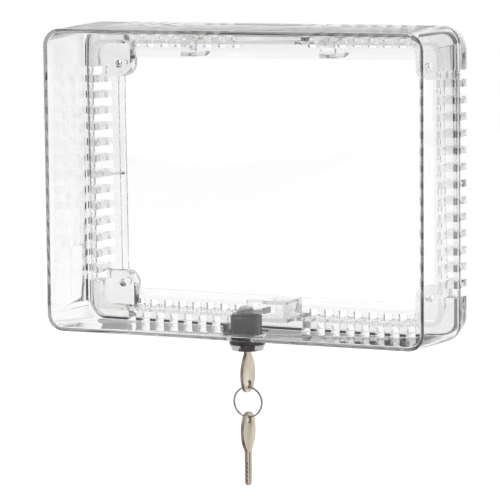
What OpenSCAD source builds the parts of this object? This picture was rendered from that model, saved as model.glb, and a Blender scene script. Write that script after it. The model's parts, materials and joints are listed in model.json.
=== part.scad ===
// Clear thermostat guard with a key lock.
// A slotted ring base is screwed to the wall round the thermostat. A deep clear cover
// hooks over the top of the ring, swings down over it and is held by a cam lock in its
// bottom wall. Two keys hang from the lock on a split ring.
// Frame: X to the right, Y into the wall, Z up. The origin is the centre of the four
// screw holes on the wall face of the ring base. "Depth" is the distance in front of the wall.

/* [Cover] */
// Width of the front face
cover_w = 240; // [210:1:280]
// Height of the front face
cover_h = 179; // [160:1:220]
// Depth from the wall to the front face
box_depth = 71.5; // [68:0.5:90]
// Wall thickness of the cover
cover_wall = 2.3; // [1.8:0.1:3]
// Corner radius of the cover
cover_r = 10; // [8:0.5:14]
// Radius of the round rear edge at the top, on which the cover tilts
tilt_r = 1.2; // [0.8:0.1:1.6]
// Length of that round edge
tilt_len = 216; // [180:1:218]
// How far each side wall leans out by its rear rim
side_lean = 1; // [0:0.1:2]
// How far the top and bottom walls lean out by the rear rim
top_lean = 2; // [0.5:0.1:3]
// Radius of the rounded edge of the front face
front_edge_r = 1.8; // [1:0.1:2.4]
// Thickness of the bead round the rear rim
rim_w = 4.2; // [3.4:0.1:5]
// Depth of the bead round the rear rim
rim_h = 4; // [2:0.5:6]
// Depth of the shallow bare label recess in the left wall
label_recess = 0.3; // [0.1:0.1:0.6]
// Height of the label recess
label_h = 34; // [20:1:40]
// Width of the label recess
label_w = 24; // [16:1:28]

/* [Hooks] */
// Distance of each hook from the middle
hook_x = 44.3; // [35:0.1:60]
// Width of each hook
hook_w = 9.6; // [7:0.1:12]
// Thickness of the hook's web and finger
hook_t = 2.6; // [2:0.1:3]
// Gap between the hook's web and the front edge of the ring
hook_gap = 1.2; // [0.8:0.1:2]
// How far the saddle sits above the ring's top wall
saddle_gap = 0.3; // [0.2:0.05:0.5]
// Extra room kept round the swing of the ring's edge
swing_clear = 0.4; // [0.3:0.05:0.6]
// Depth at which the finger of each hook ends
finger_end = 8; // [6:0.5:12]

/* [Ring base] */
// Depth of the outer ledge, on which the cover's rim seats
ledge_depth = 13.8; // [11:0.1:16]
// How far the ledge stays inside the cover's rim
ledge_inset = 1.8; // [1:0.1:2.4]
// Width of the outer ledge
ledge_w = 7.6; // [6:0.1:9]
// Depth of the ring's own wall
ring_depth = 25; // [22:0.5:28]
// Thickness of the ring's wall
ring_wall = 2; // [1.6:0.1:3]
// Corner radius outside the ring's wall
ring_r = 8; // [5:0.5:10]
// Width of the wall flange at the sides
flange_side = 10.6; // [8:0.1:14]
// Width of the wall flange at the top and bottom
flange_top = 9.1; // [7:0.1:12]
// Thickness of the wall flange
flange_t = 3; // [2:0.1:4]
// Width of the thinner lip round the opening
lip_w = 3.6; // [2:0.1:4]
// Thickness of the thinner lip
lip_t = 1.6; // [1:0.1:1.8]
// Width of one vent slot
slot_w = 5.3; // [4:0.1:6]
// Spacing of the vent slots along the sides
slot_pitch_side = 9.72; // [9:0.01:12]
// Spacing of the vent slots along the top and bottom
slot_pitch_top = 9.45; // [9:0.01:12]
// Distance of the first top and bottom slot from the middle
first_slot = 24.6; // [24:0.1:30]
// Solid length kept at each corner
corner_keep = 16; // [14:0.5:20]
// How far each slot runs into the wall flange
slot_wrap = 2.6; // [1:0.1:4]
// Thickness of the unslotted band at the ring's front edge
slot_band = 2.2; // [1.5:0.1:3]
// Thickness of the gusset at the middle of each side
gusset_t = 1.8; // [1:0.1:2.4]

/* [Screw bosses] */
// Height of a corner boss above the wall
boss_h = 10; // [6:0.5:12]
// Radius of a corner boss
boss_r = 7.4; // [6:0.1:8]
// Radius of the screw hole
screw_r = 2.5; // [2:0.1:3]
// Distance of the hole from the inside of the side wall
boss_in_x = 10.9; // [9:0.1:13]
// Distance of the hole from the inside of the top or bottom wall
boss_in_z = 12.9; // [10:0.1:14]

/* [Catch] */
// Left edge of the catch box
catch_x = 5; // [4:0.1:7]
// Width of the catch box
catch_w = 16.4; // [15:0.1:18]
// Depth at which the catch box starts
catch_rear = 13; // [10:0.5:16]
// Distance from the back of the lock barrel to the front of the catch
catch_clear = 0.6; // [0.4:0.1:1.5]
// Wall thickness of the catch box
catch_wall = 2; // [1.5:0.1:2.5]
// Clearance between the cam's bent tip and the keeper bar over it
keeper_gap = 0.4; // [0.3:0.05:0.6]
// Half width of the keeper's lip, which the bent tip turns behind
keeper_half = 4.2; // [3:0.1:4.4]
// Thickness of the keeper's lip
keeper_t = 1.5; // [1.2:0.1:1.8]
// Clearance above the cam's arm, under the keeper's lip
lip_gap = 0.4; // [0.3:0.05:0.6]

/* [Lock] */
// Depth of the lock's axis in front of the wall
lock_depth = 47; // [46:0.5:50]
// Radius of the threaded barrel
barrel_r = 9.4; // [9:0.1:10]
// Distance across the two flats of the barrel, left and right
barrel_flats = 17; // [16:0.1:18]
// Length of the barrel above the pad it stands on
barrel_up = 10.6; // [10:0.1:12]
// Pitch of the barrel's thread
thread_pitch = 1.5; // [1:0.1:2]
// Depth of the barrel's thread
thread_cut = 0.45; // [0.2:0.05:0.6]
// Radius of the lock's head at the cover
head_r = 10.7; // [10.2:0.1:12]
// Radius of the lock's head at its face
face_r = 9.2; // [8.6:0.1:10]
// Height of the lock's head
head_h = 7; // [6:0.1:8]
// Height of the straight part of the head
head_band = 3; // [2:0.1:4]
// Radius of the flat pad in the cover's bottom wall
pad_r = 12.5; // [12:0.1:14]
// Radial clearance between the barrel and its hole in the cover
barrel_clear = 0.15; // [0.1:0.05:0.3]
// Radius of the plug
plug_r = 6.25; // [6:0.05:6.4]
// Radial running clearance round the plug
plug_clear = 0.05; // [0.03:0.01:0.08]
// Radius of the plug's face flange
plug_face_r = 7.6; // [7.2:0.1:8]
// Thickness of the plug's face flange
plug_face_t = 1.5; // [1:0.1:2]
// How far the plug stands out above the barrel
plug_proud = 0.1; // [0.05:0.01:0.2]
// Radius of the plug's tail, which carries the cam
tail_r = 4; // [3.6:0.1:4.4]
// Distance across the flats of the tail
tail_flats = 6.4; // [5.6:0.1:7]
// Radius of the stop washer between the plug and the cam
stop_r = 8.4; // [8:0.1:9]
// Thickness of the stop washer
stop_t = 0.8; // [0.6:0.1:1]
// Width of the stop post on the barrel's top
post_w = 1.6; // [1:0.1:2]
// Distance of the stop post from the lock's axis
post_in = 7; // [6.8:0.1:7.4]
// Clearance of pieces that are assembled on or in one another
fit_gap = 0.1; // [0.05:0.01:0.2]

/* [Retaining clip] */
// Thickness of the clip
clip_t = 1; // [0.8:0.05:1.2]
// Depth of the clip's groove in the barrel
clip_bite = 1; // [0.6:0.1:1.2]
// Width of the clip across its legs
clip_w = 23; // [21:0.5:24]
// Length of the clip's legs past the lock's axis
clip_leg = 9.5; // [8:0.1:12]
// Distance of the clip's tab from the lock's axis
clip_tab_x = 13.2; // [12.5:0.1:15]
// Height of the clip's tab
clip_tab_h = 4.8; // [4:0.1:6]
// Width of the clip's tab
clip_tab_w = 7.8; // [5:0.1:10]

/* [Wafers and springs] */
// Thickness of a wafer
wafer_t = 0.9; // [0.7:0.05:1]
// Spacing of the wafers along the plug
wafer_pitch = 2.5; // [2.4:0.05:2.55]
// Width of a wafer across the keyway
wafer_w = 5.2; // [4.8:0.1:5.4]
// Travel of a wafer when the key comes out
wafer_travel = 1; // [0.8:0.05:1.1]
// Length of the spring lug at the side of a wafer
lug_w = 1.5; // [1.3:0.1:1.6]
// Radius of a spring's coil, to the middle of its wire
coil_r = 0.6; // [0.5:0.01:0.62]
// Radius of a spring's wire
coil_wire = 0.13; // [0.1:0.01:0.14]
// Number of turns in a spring
coil_turns = 5; // [4:1:5]

/* [Cam] */
// Length of the cam from the lock's axis
cam_len = 13.9; // [13.5:0.1:14.2]
// Width of the cam's arm
cam_w = 9.2; // [7:0.1:10]
// Thickness of the cam
cam_t = 1.8; // [1.4:0.1:2]
// Radius of the cam's round end on the plug
cam_hub_r = 5.6; // [5.2:0.1:6]
// Distance from the axis at which the cam's arm steps up
crank_x = 6; // [5.8:0.1:7]
// Height of that step
crank_h = 0.8; // [0.4:0.1:1.2]
// Thickness of the cam's bent tip
tip_t = 1.6; // [1.2:0.1:1.8]
// Height of the bent tip above the arm
tip_h = 1.6; // [1:0.1:2]
// Radius of the toothed washer under the cam's screw
washer_r = 5.2; // [4.6:0.1:5.6]
// Thickness of that washer
washer_t = 0.6; // [0.5:0.05:1]
// Radius of the screw's head
screw_head_r = 4.2; // [3.6:0.1:4.6]
// Height of the screw's head
screw_head_h = 1.8; // [1.4:0.1:2.4]
// Radius of the screw's thread
cam_screw_r = 1.9; // [1.5:0.1:2.2]

/* [Keys] */
// Overall length of a key
key_len = 43.8; // [40:0.1:46]
// Length of the blade that stands outside the lock
key_neck = 2.6; // [2:0.1:4]
// Radius of the round end of the bow
bow_r = 8.5; // [7.5:0.1:10]
// Half the width of the bow
bow_half = 8.4; // [7:0.1:9]
// Radius of the bow's long sides
bow_side_r = 16; // [14:0.5:30]
// Length of the bow
bow_len = 22.8; // [21:0.1:25]
// Width of the blade
blade_w = 6.5; // [6:0.1:6.8]
// Thickness of a key
key_t = 2; // [1.8:0.1:2.1]
// Radius of the ring hole in the bow
key_hole_r = 2.5; // [2.2:0.1:3]
// Metal left between the ring hole and the end of the bow
key_web = 2.4; // [1.8:0.1:3]
// Depth of the cuts in the blade's edges
bit_cut = 0.7; // [0.4:0.1:1]
// Length of the blade's tapered tip
key_tip = 2; // [1.5:0.1:2.2]

/* [Key ring] */
// Radius of the ring, to the middle of its wire
ring_mean_r = 8.9; // [8:0.1:12]
// Radius of the ring's wire
ring_wire = 0.65; // [0.5:0.05:0.9]
// Clearance between the ring's wire and the hole it rests in
ring_gap = 0.05; // [0.02:0.01:0.1]

/* [Hidden] */
$fn = 64;
// Overlap of joined shapes and overshoot of cuts
over = 0.5;
skin = 0.01;
// Half sizes of the cover at its front face and at its rear rim
front_half = [cover_w / 2, cover_h / 2];
rim_half = [cover_w / 2 + side_lean, cover_h / 2 + top_lean];
shell_depth = box_depth - ledge_depth;
function half_x(depth) = rim_half[0] - side_lean * (depth - ledge_depth) / shell_depth;
function half_z(depth) = rim_half[1] - top_lean * (depth - ledge_depth) / shell_depth;
// Half sizes of the ring base, worked inwards from the cover's rim
ledge_half = [rim_half[0] - ledge_inset, rim_half[1] - ledge_inset];
wall_half = [ledge_half[0] - ledge_w, ledge_half[1] - ledge_w];
inside_half = [wall_half[0] - ring_wall, wall_half[1] - ring_wall];
opening_half = [inside_half[0] - flange_side, inside_half[1] - flange_top];
lip_half = [opening_half[0] + lip_w, opening_half[1] + lip_w];
ledge_r = ring_r + ledge_w / 2;
opening_r = 3;
boss_x = inside_half[0] - boss_in_x;
boss_z = inside_half[1] - boss_in_z;
// Vent slots, counted on each side of the middle
side_count = floor((wall_half[1] - corner_keep - slot_w / 2) / slot_pitch_side + 0.5);
top_count = floor((wall_half[0] - corner_keep - slot_w / 2 - first_slot) / slot_pitch_top) + 1;
side_slots = [for (i = [0 : side_count - 1], s = [-1, 1]) s * (i + 0.5) * slot_pitch_side];
top_slots = [for (i = [0 : top_count - 1], s = [-1, 1]) s * (first_slot + i * slot_pitch_top)];
slot_depth = ring_depth - slot_band;
// Tilt axis of the cover, as depth and height: the middle of its round rear edge
hinge = [ledge_depth + tilt_r, rim_half[1] - tilt_r];
// Hooks: the finger clears the circle that the ring's front edge follows as the cover swings
edge_swing = norm([ring_depth - hinge[0], inside_half[1] - hinge[1]]);
finger_top = hinge[1] - edge_swing - swing_clear;
web_rear = ring_depth + hook_gap;
web_front = web_rear + hook_t;
saddle_rear = ledge_depth + 2.2;
// Lock, from the pad in the cover's bottom wall
pad_bottom = -half_z(lock_depth - pad_r) - skin;
pad_top = -half_z(lock_depth + pad_r) + cover_wall + skin;
face_z = pad_bottom - head_h;
barrel_top = pad_top + barrel_up;
groove_r = plug_r + plug_clear + 1.3;
wafer_mid = (face_z + barrel_top) / 2;
wafer_z = [for (i = [0 : 4]) wafer_mid + (i - 2) * wafer_pitch];
blade_in = key_len - bow_len - key_neck;
keyway_top = face_z + blade_in + 0.8;
wafer_gap = 0.1;
window_y = [-blade_w / 2 - wafer_travel - 0.2, blade_w / 2 + 0.15];
window_w = key_t + 0.3;
lug_x = wafer_w / 2 + lug_w / 2;
spring_x = wafer_w / 2 + wafer_gap + coil_r + coil_wire;
pocket_r = coil_r + coil_wire + 0.08;
lug_y = [0.6, 1.6];
spring_len = 3.9;
spring_end = lug_y[0] - spring_len - 0.1;
pocket_len = lug_y[1] + wafer_travel + 0.2 - spring_end;
// Stop washer, cam and screw, from the top of the plug
stop_z = barrel_top + plug_proud;
cam_z = stop_z + stop_t;
arm_z = cam_z + crank_h;
tip_z = arm_z + cam_t + tip_h;
post_turn = asin(post_w / 2 / post_in) + 0.5;
tail_top = cam_z + cam_t - fit_gap;
washer_z = cam_z + cam_t;
screw_z = washer_z + washer_t;
screw_hole_depth = 4.5;
// Catch, from the ring's bottom wall and the cam
catch_front = lock_depth - barrel_r - catch_clear;
catch_floor = -inside_half[1];
bar_z = tip_z + keeper_gap;
catch_top = bar_z + catch_wall;
lip_z = arm_z + cam_t + lip_gap;
// Keys and ring
bow_end = face_z - key_neck - bow_len;
hole_v = key_web + key_hole_r;
bow_shift = bow_side_r - bow_half;
bow_mid = bow_len - sqrt(pow(bow_side_r, 2) - pow(bow_shift + blade_w / 2, 2));
ring_in = ring_mean_r - ring_wire;
ring_sag = ring_in - sqrt(ring_in * ring_in - key_t * key_t / 4);
web_room = key_web + ring_wire + ring_gap + ring_sag;
ring_z = bow_end + web_room - ring_mean_r;
spare_top = ring_z - ring_mean_r + web_room;

clear_plastic = [0.86, 0.9, 0.9, 0.35];
lock_metal = [0.28, 0.27, 0.29];
bright_steel = [0.72, 0.73, 0.75];
key_brass = [0.72, 0.66, 0.52];

// A flat outline in X and Z, made solid from one depth to another
module slab(from, to) {
    translate([0, -from, 0]) rotate([90, 0, 0]) linear_extrude(to - from) children();
}

// An outline in depth and Z, made solid across X
module across(width) {
    rotate([90, 0, -90]) linear_extrude(width, center = true) children();
}

// A rectangle with round corners, given by its half sizes
module round_rect(half, r) {
    x = half[0] - r;
    z = half[1] - r;
    square([2 * half[0], 2 * z], center = true);
    square([2 * x, 2 * half[1]], center = true);
    for (sx = [-1, 1], sz = [-1, 1]) translate([sx * x, sz * z]) circle(r);
}

module at_lock() {
    translate([0, -lock_depth, 0]) children();
}

// The leaning shell of the cover, taken in by an amount all round
module shell(inset, start) {
    edge = max(front_edge_r - inset / 2, 0.6);
    r = max(cover_r - inset, 2);
    hull() {
        slab(start, start + skin, $fn = 32)
            round_rect([half_x(start) - inset, half_z(start) - inset], r, $fn = 32);
        for (a = [0 : 30 : 90]) {
            depth = box_depth - inset - edge + edge * sin(a);
            cut = inset + edge * (1 - cos(a));
            slab(depth - skin, depth)
                round_rect([half_x(depth) - cut, half_z(depth) - cut], r, $fn = 32);
        }
    }
}

// A saddle that rests over the ring's top wall, a web in front of it and a finger under it
module hook() {
    root = half_z(web_front) - cover_wall / 2;
    across(hook_w) polygon([[saddle_rear, root], [web_front, root],
        [web_front, finger_top - hook_t], [finger_end + 5, finger_top - hook_t],
        [finger_end, finger_top - hook_t / 2], [finger_end, finger_top],
        [web_rear, finger_top], [web_rear, wall_half[1] + saddle_gap],
        [saddle_rear, wall_half[1] + saddle_gap]]);
}

module barrel_outline(clear) {
    intersection() {
        circle(barrel_r + clear);
        square([barrel_flats + 2 * clear, 4 * barrel_r], center = true);
    }
}

module cover() {
    color(clear_plastic) {
        difference() {
            union() {
                difference() {
                    shell(0, ledge_depth);
                    shell(cover_wall, ledge_depth + rim_h);
                    slab(0, ledge_depth + rim_h + skin) round_rect(
                        [rim_half[0] - rim_w, rim_half[1] - rim_w], cover_r - rim_w / 2);
                }
                at_lock() translate([0, 0, pad_bottom]) cylinder(pad_top - pad_bottom, r = pad_r);
            }
            at_lock() translate([0, 0, pad_bottom - over])
                linear_extrude(pad_top - pad_bottom + 2 * over) barrel_outline(barrel_clear);
            label_cut();
            translate([-tilt_len / 2, -hinge[0], hinge[1]]) cube([tilt_len, tilt_r + over, tilt_r + over]);
        }
        translate([-tilt_len / 2, -hinge[0], hinge[1]]) rotate([0, 90, 0]) cylinder(tilt_len, r = tilt_r);
        for (s = [-1, 1]) translate([s * hook_x, 0, 0]) hook();
    }
}

// Shallow bare recess in the left wall
module label_cut() {
    mid = ledge_depth + 2 + label_w / 2;
    low = -cover_h * 0.24 - label_h;
    face = half_x(mid + label_w / 2);
    translate([-face + label_recess, -mid, low + label_h / 2]) rotate([0, -90, 0])
        linear_extrude(4) round_rect([label_h / 2, label_w / 2], 4);
}

// Cuts for the vent slots: they pass through the ledge and the wall, into the flange
module vent_cuts() {
    for (z = side_slots, s = [-1, 1]) {
        x = inside_half[0] - slot_wrap;
        translate([s > 0 ? x : -ledge_half[0] - over, -slot_depth, z - slot_w / 2])
            cube([ledge_half[0] - x + over, slot_depth + over, slot_w]);
    }
    for (x = top_slots, s = [-1, 1]) {
        z = inside_half[1] - slot_wrap;
        translate([x - slot_w / 2, -slot_depth, s > 0 ? z : -ledge_half[1] - over])
            cube([slot_w, slot_depth + over, ledge_half[1] - z + over]);
    }
}

// Corner boss outline, drawn in the top right corner
module boss_outline() {
    translate([boss_x, boss_z]) circle(boss_r);
    translate([boss_x - boss_r, boss_z]) square([boss_in_x + boss_r + over, boss_in_z + over]);
    translate([boss_x, boss_z - boss_r]) square([boss_in_x + over, boss_in_z + boss_r + over]);
}

// A box, open at its front and left. A keeper bar runs on from its top, over the turned cam,
// and the bent tip of the cam turns in behind the bar's lip
module catch_box() {
    right = catch_x + catch_w;
    depth = catch_front - catch_rear;
    height = catch_top - catch_floor;
    translate([catch_x, -catch_front, bar_z]) cube([catch_w, depth, catch_wall]);
    translate([catch_x, -catch_front, catch_floor - ring_wall]) cube([catch_w, depth, ring_wall]);
    translate([right - catch_wall, -catch_front, catch_floor - ring_wall])
        cube([catch_wall, depth, height + ring_wall]);
    translate([catch_x, -catch_rear - catch_wall, catch_floor - over])
        cube([catch_w, catch_wall, height + over]);
    translate([-keeper_half, -catch_front, bar_z])
        cube([catch_x + keeper_half + over, 2.5 * keeper_t, catch_wall]);
    translate([-keeper_half, -catch_front, lip_z])
        cube([2 * keeper_half, keeper_t, bar_z - lip_z + over]);
}

module ring_base() {
    color(clear_plastic) difference() {
        union() {
            difference() {
                union() {
                    slab(0, ring_depth) difference() {
                        round_rect(wall_half, ring_r);
                        round_rect(inside_half, ring_r - ring_wall);
                    }
                    slab(0, ledge_depth) difference() {
                        round_rect(ledge_half, ledge_r);
                        round_rect([wall_half[0] - skin, wall_half[1] - skin], ring_r);
                    }
                    slab(0, flange_t) difference() {
                        round_rect([inside_half[0] + over, inside_half[1] + over], ring_r - ring_wall);
                        round_rect(lip_half, opening_r);
                    }
                    slab(0, lip_t) difference() {
                        round_rect([lip_half[0] + over, lip_half[1] + over], opening_r);
                        round_rect(opening_half, opening_r);
                    }
                }
                vent_cuts();
            }
            for (sx = [0, 1], sz = [0, 1]) mirror([sx, 0, 0]) mirror([0, 0, sz])
                slab(0, boss_h) boss_outline();
            for (s = [0, 1]) mirror([s, 0, 0]) gusset();
            catch_box();
        }
        for (sx = [-1, 1], sz = [-1, 1]) translate([sx * boss_x, over, sz * boss_z])
            rotate([90, 0, 0]) cylinder(boss_h + 2 * over, r = screw_r);
    }
}

// Triangular rib between the side wall and the flange, at mid height
module gusset() {
    x = inside_half[0] + over;
    lip = opening_half[0] + 1;
    translate([0, 0, -gusset_t / 2]) linear_extrude(gusset_t)
        polygon([[x, -ring_depth + 1], [x, -lip_t / 2], [lip, -lip_t / 2], [lip, -lip_t - 1.5]]);
}

// Threaded barrel with two flats, grooves for the clip and the wafers, and a tapered head
module lock_housing() {
    turns = floor((barrel_top - pad_top - clip_t - 2) / thread_pitch);
    color(lock_metal) at_lock() difference() {
        union() {
            translate([0, 0, face_z]) cylinder(head_h - head_band, r1 = face_r, r2 = head_r);
            translate([0, 0, pad_bottom - head_band]) cylinder(head_band, r = head_r);
            translate([0, 0, pad_bottom - over])
                linear_extrude(barrel_top - pad_bottom + over) barrel_outline(0);
        }
        translate([0, 0, face_z - over]) cylinder(barrel_top - face_z + 2 * over, r = plug_r + plug_clear);
        translate([0, 0, face_z - over]) cylinder(plug_face_t + over + fit_gap, r = plug_face_r + fit_gap);
        for (a = [0, 90]) rotate([0, 0, a]) translate([0, 0, (wafer_z[0] + wafer_z[4]) / 2])
            intersection() {
                cube([wafer_w + 0.4, 4 * groove_r, wafer_z[4] - wafer_z[0] + wafer_pitch], center = true);
                cylinder(barrel_top - face_z, r = groove_r, center = true);
            }
        for (s = [-1, 1]) translate([0, s * barrel_r, pad_top + clip_t / 2])
            cube([3 * barrel_r, 2 * clip_bite, clip_t + 2 * fit_gap], center = true);
        for (i = [0 : turns - 1])
            translate([0, 0, pad_top + clip_t + 1.6 + i * thread_pitch]) rotate_extrude()
                polygon([[barrel_r + over, -thread_pitch / 3], [barrel_r - thread_cut, 0],
                    [barrel_r + over, thread_pitch / 3]]);
    }
    // Post that the stop washer turns against
    color(lock_metal) at_lock() intersection() {
        rotate([0, 0, 135]) translate([post_in, -post_w / 2, barrel_top - over])
            cube([barrel_r, post_w, stop_t + plug_proud + over]);
        translate([0, 0, barrel_top - over]) linear_extrude(2 * barrel_r) barrel_outline(0);
    }
}

// Flat spring clip pushed onto the barrel from the left, with an upright tab
module retaining_clip() {
    slot_half = barrel_r - clip_bite + fit_gap;
    color(lock_metal) at_lock() translate([0, 0, pad_top]) {
        linear_extrude(clip_t) difference() {
            translate([-clip_tab_x, -clip_w / 2]) square([clip_tab_x + clip_leg, clip_w]);
            translate([-barrel_r - fit_gap, -slot_half]) square([2 * barrel_r + clip_leg, 2 * slot_half]);
            for (s = [-1, 1]) translate([-clip_tab_x, s * clip_w / 2]) rotate(45)
                square(9, center = true);
        }
        translate([-clip_tab_x, -clip_tab_w / 2, 0]) cube([clip_t, clip_tab_w, clip_tab_h]);
    }
}

module tail_outline(clear) {
    intersection() {
        circle(tail_r + clear);
        square([tail_flats + 2 * clear, 4 * tail_r], center = true);
    }
}

module lock_plug() {
    color(bright_steel) at_lock() difference() {
        union() {
            translate([0, 0, face_z]) cylinder(plug_face_t, r = plug_face_r);
            translate([0, 0, face_z]) cylinder(stop_z - face_z, r = plug_r);
            translate([0, 0, stop_z - over]) linear_extrude(tail_top - stop_z + over) tail_outline(0);
        }
        translate([0, 0, (face_z + keyway_top) / 2])
            cube([key_t + 0.3, blade_w + 0.3, keyway_top - face_z + skin], center = true);
        for (z = wafer_z) translate([0, 0, z]) {
            cube([wafer_w + 2 * wafer_gap, 3 * plug_r, wafer_t + 2 * wafer_gap], center = true);
            lug_room = lug_w + wafer_gap;
            translate([wafer_w / 2, spring_end, -wafer_t / 2 - wafer_gap])
                cube([lug_room, pocket_len, wafer_t + 2 * wafer_gap]);
            translate([spring_x, spring_end, 0]) rotate([-90, 0, 0])
                cylinder(pocket_len, r = pocket_r, $fn = 24);
        }
        translate([0, 0, tail_top - screw_hole_depth]) cylinder(screw_hole_depth + over, r = cam_screw_r + fit_gap / 2);
    }
}

// One wafer: a plate round the blade, with a lug at its side for the spring
module wafer(i) {
    color(key_brass) at_lock() translate([0, 0, wafer_z[i] - wafer_t / 2]) linear_extrude(wafer_t) {
        difference() {
            intersection() {
                circle(plug_r - 0.1);
                square([wafer_w, 4 * plug_r], center = true);
            }
            translate([-window_w / 2, window_y[0]]) square([window_w, window_y[1] - window_y[0]]);
        }
        translate([wafer_w / 2 - over, lug_y[0]]) square([lug_w + over, lug_y[1] - lug_y[0]]);
    }
}

// One compression spring: a wire swept along a helix that runs along Y
module wafer_spring(i) {
    sides = 6;
    rings = 8 * coil_turns;
    rise = spring_len - 2 * coil_wire;
    function mid(k) = let (a = 360 * coil_turns * k / rings)
        [coil_r * cos(a), coil_wire + rise * k / rings, coil_r * sin(a)];
    function out(k) = let (a = 360 * coil_turns * k / rings) [cos(a), 0, sin(a)];
    points = [for (k = [0 : rings], j = [0 : sides - 1]) let (b = 360 * j / sides)
        mid(k) + coil_wire * (cos(b) * out(k) + sin(b) * [0, 1, 0])];
    walls = [for (k = [0 : rings - 1], j = [0 : sides - 1], h = [0, 1]) let (
        p = k * sides + j, q = k * sides + (j + 1) % sides)
        h == 0 ? [p, q, q + sides] : [p, q + sides, p + sides]];
    ends = [for (j = [1 : sides - 2]) [0, j + 1, j],
        for (j = [1 : sides - 2]) [rings * sides, rings * sides + j, rings * sides + j + 1]];
    echo(least_gap_of_spring = rise / coil_turns - 2 * coil_wire);
    color(bright_steel) at_lock() translate([spring_x, spring_end + 0.05, wafer_z[i]])
        polyhedron(points, concat(walls, ends));
}

// Washer keyed to the plug: its notch lets the plug make a quarter turn round the post
module stop_washer() {
    color(bright_steel) at_lock() translate([0, 0, stop_z]) linear_extrude(stop_t) difference() {
        circle(stop_r);
        tail_outline(fit_gap);
        difference() {
            polygon([[0, 0], for (k = [0 : 6]) let (
                a = 45 - post_turn + k * (90 + 2 * post_turn) / 6) 2 * stop_r * [cos(a), sin(a)]]);
            circle(post_in - 0.1);
        }
    }
}

// Cam: at rest it points to the right, unlocked. Its arm steps up and ends in a bent tip
module cam() {
    top = arm_z + cam_t;
    color(bright_steel) at_lock() difference() {
        union() {
            translate([0, 0, cam_z]) cylinder(cam_t, r = cam_hub_r);
            rotate([90, 0, 0]) linear_extrude(cam_w, center = true)
                polygon([[crank_x - 2.6, cam_z], [crank_x - 0.4, cam_z], [crank_x + crank_h, arm_z],
                    [cam_len, arm_z], [cam_len, tip_z], [cam_len - tip_t, tip_z],
                    [cam_len - tip_t, top], [crank_x + crank_h - 0.4, top],
                    [crank_x - 0.4, cam_z + cam_t], [crank_x - 2.6, cam_z + cam_t]]);
        }
        translate([0, 0, cam_z - over]) linear_extrude(cam_t + 2 * over) tail_outline(fit_gap);
    }
}

module cam_washer() {
    color(bright_steel) at_lock() translate([0, 0, washer_z]) linear_extrude(washer_t) difference() {
        union() {
            circle(washer_r - 0.6);
            for (a = [0 : 30 : 330]) rotate(a) translate([washer_r - 1.2, -0.5]) square([1.2, 1]);
        }
        circle(cam_screw_r + fit_gap);
    }
}

module cam_screw() {
    color(bright_steel) at_lock() translate([0, 0, screw_z]) difference() {
        union() {
            cylinder(screw_head_h - 0.6, r = screw_head_r);
            translate([0, 0, screw_head_h - 0.6])
                cylinder(0.6, r1 = screw_head_r, r2 = screw_head_r - 0.8);
            translate([0, 0, 0.8 - screw_hole_depth]) cylinder(screw_hole_depth, r = cam_screw_r);
        }
        translate([0, 0, screw_head_h - 1]) for (a = [0, 90]) rotate([0, 0, a])
            translate([-0.5, -2.2, 0]) cube([1, 4.4, 1 + over]);
    }
}

// A flat outline with its height along Z, made solid across the thickness of a key
module key_plate(t) {
    rotate([90, 0, 90]) linear_extrude(t, center = true) children();
}

// Oval bow between two long arcs, with a round end at the origin
module key_bow() {
    intersection() {
        key_plate(key_t) translate([bow_shift, bow_mid]) circle(bow_side_r);
        key_plate(key_t) translate([-bow_shift, bow_mid]) circle(bow_side_r);
        union() {
            key_plate(key_t) translate([0, bow_r]) circle(bow_r);
            key_plate(key_t) translate([-bow_half - 1, bow_r]) square([2 * bow_half + 2, bow_len]);
        }
    }
}

// Key: the end of the bow at the origin, the blade upwards with a milled groove
module key_blank() {
    half = blade_w / 2;
    foot = bow_len - 4;
    side = [[half, foot], [half, key_len - key_tip], [1.1, key_len]];
    difference() {
        union() {
            key_bow();
            key_plate(key_t) polygon(concat(side,
                [for (k = [len(side) - 1 : -1 : 0]) [-side[k][0], side[k][1]]]));
        }
        key_plate(key_t + 1) translate([0, hole_v]) circle(key_hole_r);
        for (z = wafer_z, s = [-1, 1]) key_plate(key_t + 1) translate([s * half, z - bow_end])
            polygon([[s * over, -1.1], [-s * bit_cut, -0.2], [-s * bit_cut, 0.2], [s * over, 1.1]]);
        translate([key_t / 2 - 0.5, -0.3, bow_len + 1]) cube([1, 1.2, key_len]);
    }
}

module lock_key() {
    color(key_brass) at_lock() translate([0, 0, bow_end]) key_blank();
}

module spare_key() {
    color(key_brass) at_lock() translate([0, 0, spare_top]) rotate([180, 0, 0]) key_blank();
}

module key_ring() {
    color(bright_steel) at_lock() translate([0, 0, ring_z]) rotate([90, 0, 0])
        rotate_extrude($fn = 96) translate([ring_mean_r, 0]) circle(ring_wire, $fn = 24);
}

ring_base();
cover();
lock_housing();
retaining_clip();
lock_plug();
stop_washer();
wafer(0);  // wafer_1
wafer(1);  // wafer_2
wafer(2);  // wafer_3
wafer(3);  // wafer_4
wafer(4);  // wafer_5
wafer_spring(0);  // wafer_spring_1
wafer_spring(1);  // wafer_spring_2
wafer_spring(2);  // wafer_spring_3
wafer_spring(3);  // wafer_spring_4
wafer_spring(4);  // wafer_spring_5
cam();
cam_washer();
cam_screw();
lock_key();
key_ring();
spare_key();
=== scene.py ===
import json
import math
import bpy
from mathutils import Matrix, Vector

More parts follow.
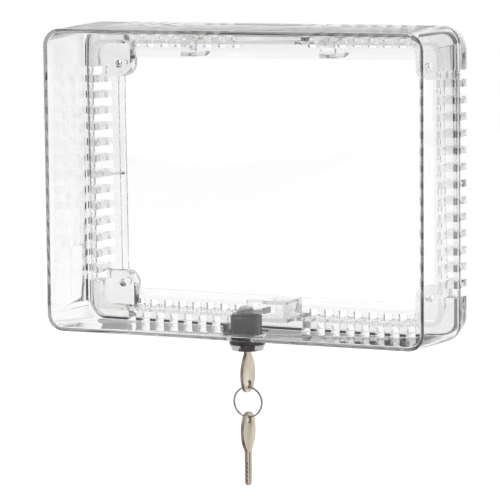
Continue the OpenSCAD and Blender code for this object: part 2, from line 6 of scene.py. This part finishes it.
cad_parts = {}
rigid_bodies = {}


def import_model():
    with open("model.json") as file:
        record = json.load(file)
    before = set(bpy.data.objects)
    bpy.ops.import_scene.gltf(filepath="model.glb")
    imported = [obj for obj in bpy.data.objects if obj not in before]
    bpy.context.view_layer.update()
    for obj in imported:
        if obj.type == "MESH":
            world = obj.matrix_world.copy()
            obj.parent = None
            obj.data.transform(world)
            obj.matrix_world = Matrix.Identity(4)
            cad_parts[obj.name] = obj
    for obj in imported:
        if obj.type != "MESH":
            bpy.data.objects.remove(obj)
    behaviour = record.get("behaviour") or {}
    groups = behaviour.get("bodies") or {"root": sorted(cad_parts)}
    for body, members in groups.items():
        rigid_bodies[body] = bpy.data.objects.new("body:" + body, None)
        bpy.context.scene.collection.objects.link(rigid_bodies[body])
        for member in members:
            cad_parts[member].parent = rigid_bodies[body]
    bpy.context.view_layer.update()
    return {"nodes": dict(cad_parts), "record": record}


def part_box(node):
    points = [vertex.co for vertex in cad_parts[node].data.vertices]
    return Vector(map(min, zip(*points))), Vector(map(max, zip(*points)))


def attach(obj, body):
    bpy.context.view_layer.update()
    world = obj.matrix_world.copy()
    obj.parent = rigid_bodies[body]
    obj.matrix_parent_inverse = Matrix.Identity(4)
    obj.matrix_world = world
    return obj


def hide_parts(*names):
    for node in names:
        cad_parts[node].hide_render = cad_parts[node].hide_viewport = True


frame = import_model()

NODES = frame["nodes"]
MM = 0.001


# ---------------------------------------------------------------- camera

LENS_MM, SENSOR_MM = 220.18, 36
CAMERA_AZIMUTH, CAMERA_ELEVATION, CAMERA_ROLL = 24.709, 6.865, -0.501
CAMERA_AIM_MM = (-3.351, -35.0, -40.568)
CAMERA_DISTANCE = 1.79724


def photo_camera():
    """A long lens, a little right of the box and a little above it."""
    bpy.ops.object.camera_add(location=(0, 0, 0))
    camera = bpy.context.object
    camera.name = "photo_camera"
    camera.data.lens = LENS_MM
    camera.data.sensor_width = SENSOR_MM
    camera.data.clip_start = 0.05
    camera.data.clip_end = 100
    az, el = math.radians(CAMERA_AZIMUTH), math.radians(CAMERA_ELEVATION)
    roll = math.radians(CAMERA_ROLL)
    target = Vector(CAMERA_AIM_MM) * MM
    back = Vector((math.sin(az) * math.cos(el), -math.cos(az) * math.cos(el), math.sin(el)))
    right = Vector((math.cos(az), math.sin(az), 0))
    up = back.cross(right)
    turned_right = right * math.cos(roll) + up * math.sin(roll)
    turned_up = up * math.cos(roll) - right * math.sin(roll)
    place = Matrix((turned_right, turned_up, back)).transposed().to_4x4()
    place.translation = target + back * CAMERA_DISTANCE
    camera.matrix_world = place
    bpy.context.scene.camera = camera


photo_camera()


# ---------------------------------------------------------------- node helpers

RELIEF_DEPTH = 0.1 * MM


def new_material(name):
    mat = bpy.data.materials.new(name)
    mat.use_nodes = True
    tree = mat.node_tree
    tree.nodes.clear()
    out = tree.nodes.new("ShaderNodeOutputMaterial")
    shader = tree.nodes.new("ShaderNodeBsdfPrincipled")
    tree.links.new(shader.outputs["BSDF"], out.inputs["Surface"])
    return mat, tree, shader, out


def object_coords(tree, scale=(1, 1, 1)):
    coord = tree.nodes.new("ShaderNodeTexCoord")
    mapping = tree.nodes.new("ShaderNodeMapping")
    mapping.inputs["Scale"].default_value = scale
    tree.links.new(coord.outputs["Object"], mapping.inputs["Vector"])
    return mapping.outputs["Vector"]


def make_group(name, inputs, outputs):
    group = bpy.data.node_groups.new(name, "ShaderNodeTree")
    for label, kind, value in inputs:
        socket = group.interface.new_socket(name=label, in_out="INPUT", socket_type=kind)
        if value is not None:
            socket.default_value = value
    for label, kind in outputs:
        group.interface.new_socket(name=label, in_out="OUTPUT", socket_type=kind)
    start = group.nodes.new("NodeGroupInput")
    end = group.nodes.new("NodeGroupOutput")
    return group, start, end


def feed(tree, value, socket):
    """Links another node's output to a socket, or writes a plain number or colour into it."""
    if isinstance(value, bpy.types.NodeSocket):
        tree.links.new(value, socket)
    else:
        socket.default_value = value


def maths(tree, operation, *values):
    node = tree.nodes.new("ShaderNodeMath")
    node.operation = operation
    for socket, value in zip(node.inputs, values):
        feed(tree, value, socket)
    return node.outputs[0]


def noise(tree, vector, scale, detail):
    texture = tree.nodes.new("ShaderNodeTexNoise")
    texture.inputs["Scale"].default_value = scale
    texture.inputs["Detail"].default_value = detail
    tree.links.new(vector, texture.inputs["Vector"])
    return texture.outputs["Fac"]


def ramp(tree, value, start, end, low=0.0, high=1.0, smooth=True):
    """Goes from low to high while the value goes from start to end."""
    node = tree.nodes.new("ShaderNodeMapRange")
    node.interpolation_type = "SMOOTHSTEP" if smooth else "LINEAR"
    node.inputs["From Min"].default_value = start
    node.inputs["From Max"].default_value = end
    node.inputs["To Min"].default_value = low
    node.inputs["To Max"].default_value = high
    tree.links.new(value, node.inputs["Value"])
    return node.outputs["Result"]


def mixed(tree, kind, factor, a, b):
    """Blends from a to b. Kind is RGBA for colours and FLOAT for numbers."""
    node = tree.nodes.new("ShaderNodeMix")
    node.data_type = kind
    tree.links.new(factor, node.inputs["Factor"])
    feed(tree, a, node.inputs["A"])
    feed(tree, b, node.inputs["B"])
    return node.outputs["Result"]


def relief(tree, height, strength, shader):
    """Gives a shader a faint bump from a height."""
    bump = tree.nodes.new("ShaderNodeBump")
    bump.inputs["Strength"].default_value = strength
    bump.inputs["Distance"].default_value = RELIEF_DEPTH
    tree.links.new(height, bump.inputs["Height"])
    tree.links.new(bump.outputs["Normal"], shader.inputs["Normal"])


def place_group(tree, group, **values):
    node = tree.nodes.new("ShaderNodeGroup")
    node.node_tree = group
    for label, value in values.items():
        node.inputs[label.replace("_", " ")].default_value = value
    return node


# ---------------------------------------------------------------- shared effects

# Each noise has a scale, in features to the metre, and a level of detail
STREAKS = (900, 3)
CLOUDS = (160, 4)
WAVES = (28, 2)
# Where the clouds go from the dark tone to the light one
CLOUD_EDGE = (0.35, 0.68)
METAL_RELIEF, PLASTIC_RELIEF = 0.05, 0.02


def brushed_metal_group():
    """Fine streaks and soft cloudy patches: a roughness, a tone and a height."""
    group, start, end = make_group(
        "brushed_metal",
        [("Vector", "NodeSocketVector", None), ("Base Roughness", "NodeSocketFloat", 0.25),
         ("Streaks", "NodeSocketFloat", 0.1), ("Clouds", "NodeSocketFloat", 0.1),
         ("Light", "NodeSocketColor", (0.8, 0.8, 0.8, 1)),
         ("Dark", "NodeSocketColor", (0.5, 0.5, 0.5, 1))],
        [("Color", "NodeSocketColor"), ("Roughness", "NodeSocketFloat"),
         ("Height", "NodeSocketFloat")])
    given = start.outputs
    fine = noise(group, given["Vector"], *STREAKS)
    cloud = noise(group, given["Vector"], *CLOUDS)
    streak = maths(group, "MULTIPLY", fine, given["Streaks"])
    patch = maths(group, "MULTIPLY", cloud, given["Clouds"])
    rough = maths(group, "ADD", maths(group, "ADD", streak, patch), given["Base Roughness"])
    shade = ramp(group, cloud, *CLOUD_EDGE, smooth=False)
    tone = mixed(group, "RGBA", shade, given["Dark"], given["Light"])
    group.links.new(tone, end.inputs["Color"])
    group.links.new(rough, end.inputs["Roughness"])
    group.links.new(fine, end.inputs["Height"])
    return group


def moulded_plastic_group():
    """The faint waves of a moulded clear wall: a small roughness and a height."""
    group, start, end = make_group(
        "moulded_plastic",
        [("Vector", "NodeSocketVector", None), ("Base Roughness", "NodeSocketFloat", 0.02),
         ("Haze", "NodeSocketFloat", 0.02)],
        [("Roughness", "NodeSocketFloat"), ("Height", "NodeSocketFloat")])
    given = start.outputs
    wave = noise(group, given["Vector"], *WAVES)
    haze = maths(group, "MULTIPLY_ADD", wave, given["Haze"], given["Base Roughness"])
    group.links.new(haze, end.inputs["Roughness"])
    group.links.new(wave, end.inputs["Height"])
    return group


BRUSHED = brushed_metal_group()
MOULDED = moulded_plastic_group()


# ---------------------------------------------------------------- materials

PLASTIC_IOR = 1.49
LAMPLIGHT_THROUGH = (0.95, 0.96, 0.955, 1)
PLASTIC_DEPTH = (0.80, 0.80, 0.795, 1)


def clear_plastic(name, tint, density, haze):
    """Clear polycarbonate, greyer the further light runs inside it. Lamps shine through it."""
    mat, tree, shader, out = new_material(name)
    shader.inputs["Base Color"].default_value = (tint, tint, tint, 1)
    shader.inputs["Metallic"].default_value = 0
    shader.inputs["IOR"].default_value = PLASTIC_IOR
    shader.inputs["Transmission Weight"].default_value = 1.0
    effect = place_group(tree, MOULDED, Base_Roughness=0.0, Haze=haze)
    tree.links.new(object_coords(tree), effect.inputs["Vector"])
    tree.links.new(effect.outputs["Roughness"], shader.inputs["Roughness"])
    relief(tree, effect.outputs["Height"], PLASTIC_RELIEF, shader)
    path = tree.nodes.new("ShaderNodeLightPath")
    through = tree.nodes.new("ShaderNodeBsdfTransparent")
    through.inputs["Color"].default_value = LAMPLIGHT_THROUGH
    mix = tree.nodes.new("ShaderNodeMixShader")
    tree.links.new(path.outputs["Is Shadow Ray"], mix.inputs[0])
    tree.links.new(shader.outputs["BSDF"], mix.inputs[1])
    tree.links.new(through.outputs["BSDF"], mix.inputs[2])
    tree.links.new(mix.outputs["Shader"], out.inputs["Surface"])
    depth = tree.nodes.new("ShaderNodeVolumeAbsorption")
    depth.inputs["Color"].default_value = PLASTIC_DEPTH
    depth.inputs["Density"].default_value = density
    tree.links.new(depth.outputs["Volume"], out.inputs["Volume"])
    return mat


def metal(name, light, dark, roughness, streaks=0.1, clouds=0.12, scale=(1, 1, 1), painted_light=None):
    """A plated or brushed metal. Painted light is a painted tone of light or shade that takes
    over along one axis.
    """
    mat, tree, shader, _ = new_material(name)
    shader.inputs["Metallic"].default_value = 1.0
    effect = place_group(tree, BRUSHED, Base_Roughness=roughness, Streaks=streaks, Clouds=clouds)
    effect.inputs["Light"].default_value = (*light, 1)
    effect.inputs["Dark"].default_value = (*dark, 1)
    tree.links.new(object_coords(tree, scale), effect.inputs["Vector"])
    tone = effect.outputs["Color"]
    # Painted light or shade laid over the metal's own tone
    if painted_light:
        tone = painted_light_tone(tree, tone, **painted_light)
    tree.links.new(tone, shader.inputs["Base Color"])
    tree.links.new(effect.outputs["Roughness"], shader.inputs["Roughness"])
    relief(tree, effect.outputs["Height"], METAL_RELIEF, shader)
    return mat


def painted_light_tone(tree, first, axis, start, end, tone, both_ways=False):
    """Blends a metal's tone to a painted tone of light or shade while its place along an axis
    runs from start to end.
    """
    axes = tree.nodes.new("ShaderNodeSeparateXYZ")
    tree.links.new(object_coords(tree), axes.inputs[0])
    place = axes.outputs[axis]
    if both_ways:
        place = maths(tree, "ABSOLUTE", place)
    return mixed(tree, "RGBA", ramp(tree, place, start, end), first, (*tone, 1))


COVER_CLEAR = clear_plastic("clear_cover", tint=0.985, density=85, haze=0.004)
RING_CLEAR = clear_plastic("clear_ring", tint=0.955, density=70, haze=0.01)
# Painted shade and painted reflection: the head's upper band is painted as dark as the barrel,
# and its lower part is painted brighter
BARREL = metal("lock_plating", (0.085, 0.08, 0.085), (0.035, 0.032, 0.036), 0.07,
               streaks=0.03, clouds=0.05,
               painted_light=dict(axis="Z", start=-94.0 * MM, end=-94.9 * MM,
                           tone=(0.50, 0.475, 0.465)))
CLIP_STEEL = metal("dark_clip_steel", (0.12, 0.115, 0.12), (0.06, 0.058, 0.06), 0.2)
PLUG_PLATING = metal("bright_plug_plating", (0.62, 0.62, 0.63), (0.42, 0.42, 0.43), 0.2)
ZINC = metal("zinc_plated_steel", (0.5, 0.49, 0.47), (0.3, 0.29, 0.28), 0.24)
RING_STEEL = metal("ring_steel", (0.42, 0.42, 0.43), (0.28, 0.28, 0.29), 0.2)
SPRING_STEEL = metal("spring_steel", (0.6, 0.6, 0.62), (0.4, 0.4, 0.42), 0.25)
WAFER_BRASS = metal("wafer_brass", (0.78, 0.6, 0.32), (0.6, 0.44, 0.2), 0.28)
# Painted shade: the keys' cut edges and the groove in their blades are painted darker than their
# flat sides
KEY_METAL = metal("key_nickel_silver", (0.86, 0.79, 0.67), (0.62, 0.55, 0.44), 0.26,
                  clouds=0.2, scale=(1, 1, 0.3),
                  painted_light=dict(axis="X", start=0.98 * MM, end=0.9 * MM,
                              tone=(0.34, 0.27, 0.22), both_ways=True))

NODE_FINISH = {
    "ring_base": RING_CLEAR, "cover": COVER_CLEAR,
    "lock_housing": BARREL, "retaining_clip": CLIP_STEEL, "lock_plug": PLUG_PLATING,
    "stop_washer": CLIP_STEEL, "cam": ZINC, "cam_washer": ZINC, "cam_screw": PLUG_PLATING,
    "lock_key": KEY_METAL, "spare_key": KEY_METAL, "key_ring": RING_STEEL,
}
for name, node in NODES.items():
    finish = NODE_FINISH.get(name, SPRING_STEEL if "spring" in name else WAFER_BRASS)
    node.data.materials.clear()
    node.data.materials.append(finish)


# ---------------------------------------------------------------- pieces

RECORD = frame["record"]
BODY = {node: body for body, nodes in RECORD["behaviour"]["bodies"].items() for node in nodes}
# Corners of the loose triangles this close become one, and faces this nearly flat join up
MERGE_WITHIN = 0.002 * MM
FLAT_WITHIN = math.radians(1)
ROUNDING_STEPS = 2


def softened(node_name, width, angle=35):
    """A copy of a node's solid, with its seams merged and its sharp edges rounded."""
    bpy.ops.object.select_all(action="DESELECT")
    node = NODES[node_name]
    node.select_set(True)
    bpy.context.view_layer.objects.active = node
    bpy.ops.object.duplicate()
    piece = bpy.context.object
    piece.name = node_name + "_body"
    bpy.ops.object.parent_clear(type="CLEAR_KEEP_TRANSFORM")
    bpy.ops.object.mode_set(mode="EDIT")
    bpy.ops.mesh.select_all(action="SELECT")
    bpy.ops.mesh.remove_doubles(threshold=MERGE_WITHIN)
    bpy.ops.mesh.dissolve_limited(angle_limit=FLAT_WITHIN)
    bpy.ops.object.mode_set(mode="OBJECT")
    bevel = piece.modifiers.new("rounded_edges", "BEVEL")
    bevel.width = width
    bevel.segments = ROUNDING_STEPS
    bevel.limit_method = "ANGLE"
    bevel.angle_limit = math.radians(angle)
    bevel.use_clamp_overlap = True
    bpy.ops.object.modifier_apply(modifier=bevel.name)
    bpy.ops.object.shade_smooth_by_angle(angle=math.radians(angle))
    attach(piece, BODY[node_name])
    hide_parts(node_name)


softened("cover", 0.2 * MM)
softened("ring_base", 0.15 * MM)
softened("lock_housing", 0.12 * MM, angle=20)
softened("retaining_clip", 0.12 * MM)
softened("lock_plug", 0.12 * MM)
softened("stop_washer", 0.1 * MM)
softened("cam_washer", 0.1 * MM)
softened("cam_screw", 0.2 * MM, angle=25)
softened("lock_key", 0.2 * MM)
softened("spare_key", 0.2 * MM)
softened("cam", 0.15 * MM)

# The split ring's wire is wider outwards than sideways, and steps sideways between its turns
WIRE_SIDES = 12
WIRE_FLATNESS = 1.5
TURN_STEPS = 58
SIDESTEPS = 7
SIDESTEP_DEGREES = 5
WIRE_SMOOTHING = math.radians(50)


def split_ring():
    """Two flat turns of wire side by side, with a short step from one to the other."""
    low, high = (Vector(c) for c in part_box("key_ring"))
    centre = (low + high) / 2
    wire = (high.y - low.y) / 4
    mean = (high.x - low.x) / 2 - 2 * wire
    start = (centre.x, centre.y - wire, centre.z - mean)
    bpy.ops.object.select_all(action="DESELECT")
    bpy.ops.mesh.primitive_circle_add(vertices=WIRE_SIDES, radius=wire, fill_type="NOTHING",
                                      location=start, rotation=(0, math.radians(90), 0))
    piece = bpy.context.object
    piece.name = "split_ring"
    bpy.ops.object.transform_apply(location=True, rotation=True, scale=True)
    bpy.ops.object.mode_set(mode="EDIT")
    bpy.ops.mesh.select_all(action="SELECT")
    bpy.ops.transform.resize(value=(1, 1, WIRE_FLATNESS), center_override=start)
    bpy.ops.mesh.edge_face_add()
    around = {"center": centre, "axis": (0, 1, 0)}
    flat_turn = math.radians(360 - SIDESTEPS * SIDESTEP_DEGREES)
    bpy.ops.mesh.spin(steps=TURN_STEPS, angle=flat_turn, **around)
    for _ in range(SIDESTEPS):
        bpy.ops.mesh.spin(steps=1, angle=math.radians(SIDESTEP_DEGREES), **around)
        bpy.ops.transform.translate(value=(0, 2 * wire / SIDESTEPS, 0))
    bpy.ops.mesh.spin(steps=TURN_STEPS, angle=flat_turn, **around)
    bpy.ops.mesh.edge_face_add()
    bpy.ops.mesh.select_all(action="SELECT")
    bpy.ops.mesh.normals_make_consistent(inside=False)
    bpy.ops.object.mode_set(mode="OBJECT")
    bpy.ops.object.shade_smooth_by_angle(angle=WIRE_SMOOTHING)
    piece.data.materials.append(RING_STEEL)
    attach(piece, "ring")
    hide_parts("key_ring")


split_ring()


# ---------------------------------------------------------------- studio

FLOOR_SIZE, FLOOR_Z = 8, -0.32
FLOOR_PAINT = (0.8, 0.8, 0.8, 1)
# The floor's own glow, where the camera sees it plainly or through the plastic
FLOOR_GLOW = 0.28
# The strength of the sky for the camera and for plain surfaces
WHITE_PLAIN = 1.0
# Bands of the sky: where each starts and ends, and its strengths there. Overhead is the
# light from above, through is seen in the plastic from front to back, and mirrored is
# seen in reflections from low to high.
OVERHEAD = (0.55, 0.85, 0.0, 1.0)
THROUGH = (-0.4, 0.4, 0.2, 1.13)
MIRRORED = (-0.2, 0.5, 0.22, 0.4)
CARD_BLACK = (0.09, 0.085, 0.085, 1)
UPRIGHT = (math.radians(90), 0, 0)
FACING_CAMERA = (0, 0, math.radians(24.7))
BOX_AIM = (0, -0.04, -0.03)
LOCK_AIM = (0, -0.05, -0.08)
INNER_BOUNCES = 40


def floor():
    """A plain pale floor that keeps the object's shadow."""
    bpy.ops.mesh.primitive_plane_add(size=FLOOR_SIZE, location=(0, 0, FLOOR_Z))
    plane = bpy.context.object
    plane.name = "studio_floor"
    mat = bpy.data.materials.new("studio_white")
    mat.use_nodes = True
    tree = mat.node_tree
    tree.nodes.clear()
    out = tree.nodes.new("ShaderNodeOutputMaterial")
    diffuse = tree.nodes.new("ShaderNodeBsdfDiffuse")
    diffuse.inputs["Color"].default_value = FLOOR_PAINT
    glow = tree.nodes.new("ShaderNodeEmission")
    path = tree.nodes.new("ShaderNodeLightPath")
    seen = maths(tree, "MAXIMUM",
                 path.outputs["Is Camera Ray"], path.outputs["Is Transmission Ray"])
    tree.links.new(maths(tree, "MULTIPLY", seen, FLOOR_GLOW), glow.inputs["Strength"])
    add = tree.nodes.new("ShaderNodeAddShader")
    tree.links.new(diffuse.outputs["BSDF"], add.inputs[0])
    tree.links.new(glow.outputs["Emission"], add.inputs[1])
    tree.links.new(add.outputs["Shader"], out.inputs["Surface"])
    plane.data.materials.append(mat)


def sky():
    """Plain white, greyer in reflections and, through the plastic, towards the front."""
    world = bpy.data.worlds.new("studio_sky")
    bpy.context.scene.world = world
    world.use_nodes = True
    tree = world.node_tree
    tree.nodes.clear()
    out = tree.nodes.new("ShaderNodeOutputWorld")
    background = tree.nodes.new("ShaderNodeBackground")
    background.inputs["Color"].default_value = (1, 1, 1, 1)
    tree.links.new(background.outputs["Background"], out.inputs["Surface"])
    coord = tree.nodes.new("ShaderNodeTexCoord")
    axes = tree.nodes.new("ShaderNodeSeparateXYZ")
    tree.links.new(coord.outputs["Generated"], axes.inputs[0])
    path = tree.nodes.new("ShaderNodeLightPath")
    overhead = ramp(tree, axes.outputs["Z"], *OVERHEAD)
    through = maths(tree, "MAXIMUM", ramp(tree, axes.outputs["Y"], *THROUGH), overhead)
    mirrored = maths(tree, "MAXIMUM", ramp(tree, axes.outputs["Z"], *MIRRORED), overhead)
    shown = mixed(tree, "FLOAT", path.outputs["Is Glossy Ray"], WHITE_PLAIN, mirrored)
    shown = mixed(tree, "FLOAT", path.outputs["Is Transmission Ray"], shown, through)
    tree.links.new(shown, background.inputs["Strength"])


def card(name, place, turn, size, mat):
    """A flat card that is seen only in reflections and throws no shadow."""
    bpy.ops.mesh.primitive_plane_add(size=1, location=place, rotation=turn)
    plane = bpy.context.object
    plane.name = name
    plane.scale = (*size, 1)
    plane.data.materials.append(mat)
    plane.visible_camera = False
    plane.visible_diffuse = False
    plane.visible_transmission = False
    plane.visible_shadow = False


def card_white():
    mat = bpy.data.materials.new("card_white")
    mat.use_nodes = True
    tree = mat.node_tree
    tree.nodes.clear()
    glow = tree.nodes.new("ShaderNodeEmission")
    out = tree.nodes.new("ShaderNodeOutputMaterial")
    tree.links.new(glow.outputs["Emission"], out.inputs["Surface"])
    return mat


def card_black():
    mat = bpy.data.materials.new("card_black")
    mat.use_nodes = True
    paint = mat.node_tree.nodes["Principled BSDF"]
    paint.inputs["Base Color"].default_value = CARD_BLACK
    paint.inputs["Specular IOR Level"].default_value = 0
    return mat


def lamp(name, place, aim, size, power):
    data = bpy.data.lights.new(name, "AREA")
    data.size = size
    data.energy = power
    light = bpy.data.objects.new(name, data)
    bpy.context.collection.objects.link(light)
    light.location = place
    light.rotation_euler = (Vector(aim) - Vector(place)).to_track_quat("-Z", "Y").to_euler()


floor()
card("white_card", (-0.3, 0.35, 0.1), UPRIGHT, (0.9, 0.8), card_white())
# On the floor below the lock, it gives the lock's head its dark middle
card("dark_card", (0.042, -0.138, -0.315), FACING_CAMERA, (0.40, 0.24), card_black())
sky()
lamp("left_softbox", (-1.1, -1.2, 0.9), BOX_AIM, size=0.6, power=4)
# A small lamp high in front, that catches the barrel's threads and the screw
lamp("front_spot", (0.06, -0.27, 0.89), LOCK_AIM, size=0.16, power=3)
lamp("right_softbox", (1.3, -0.8, 0.7), BOX_AIM, size=0.5, power=3)

bpy.context.scene.view_settings.view_transform = "Standard"
# Light runs along inside the clear walls, so it is followed further than usual.
bpy.context.scene.cycles.max_bounces = INNER_BOUNCES
bpy.context.scene.cycles.transmission_bounces = INNER_BOUNCES
bpy.context.scene.cycles.glossy_bounces = INNER_BOUNCES
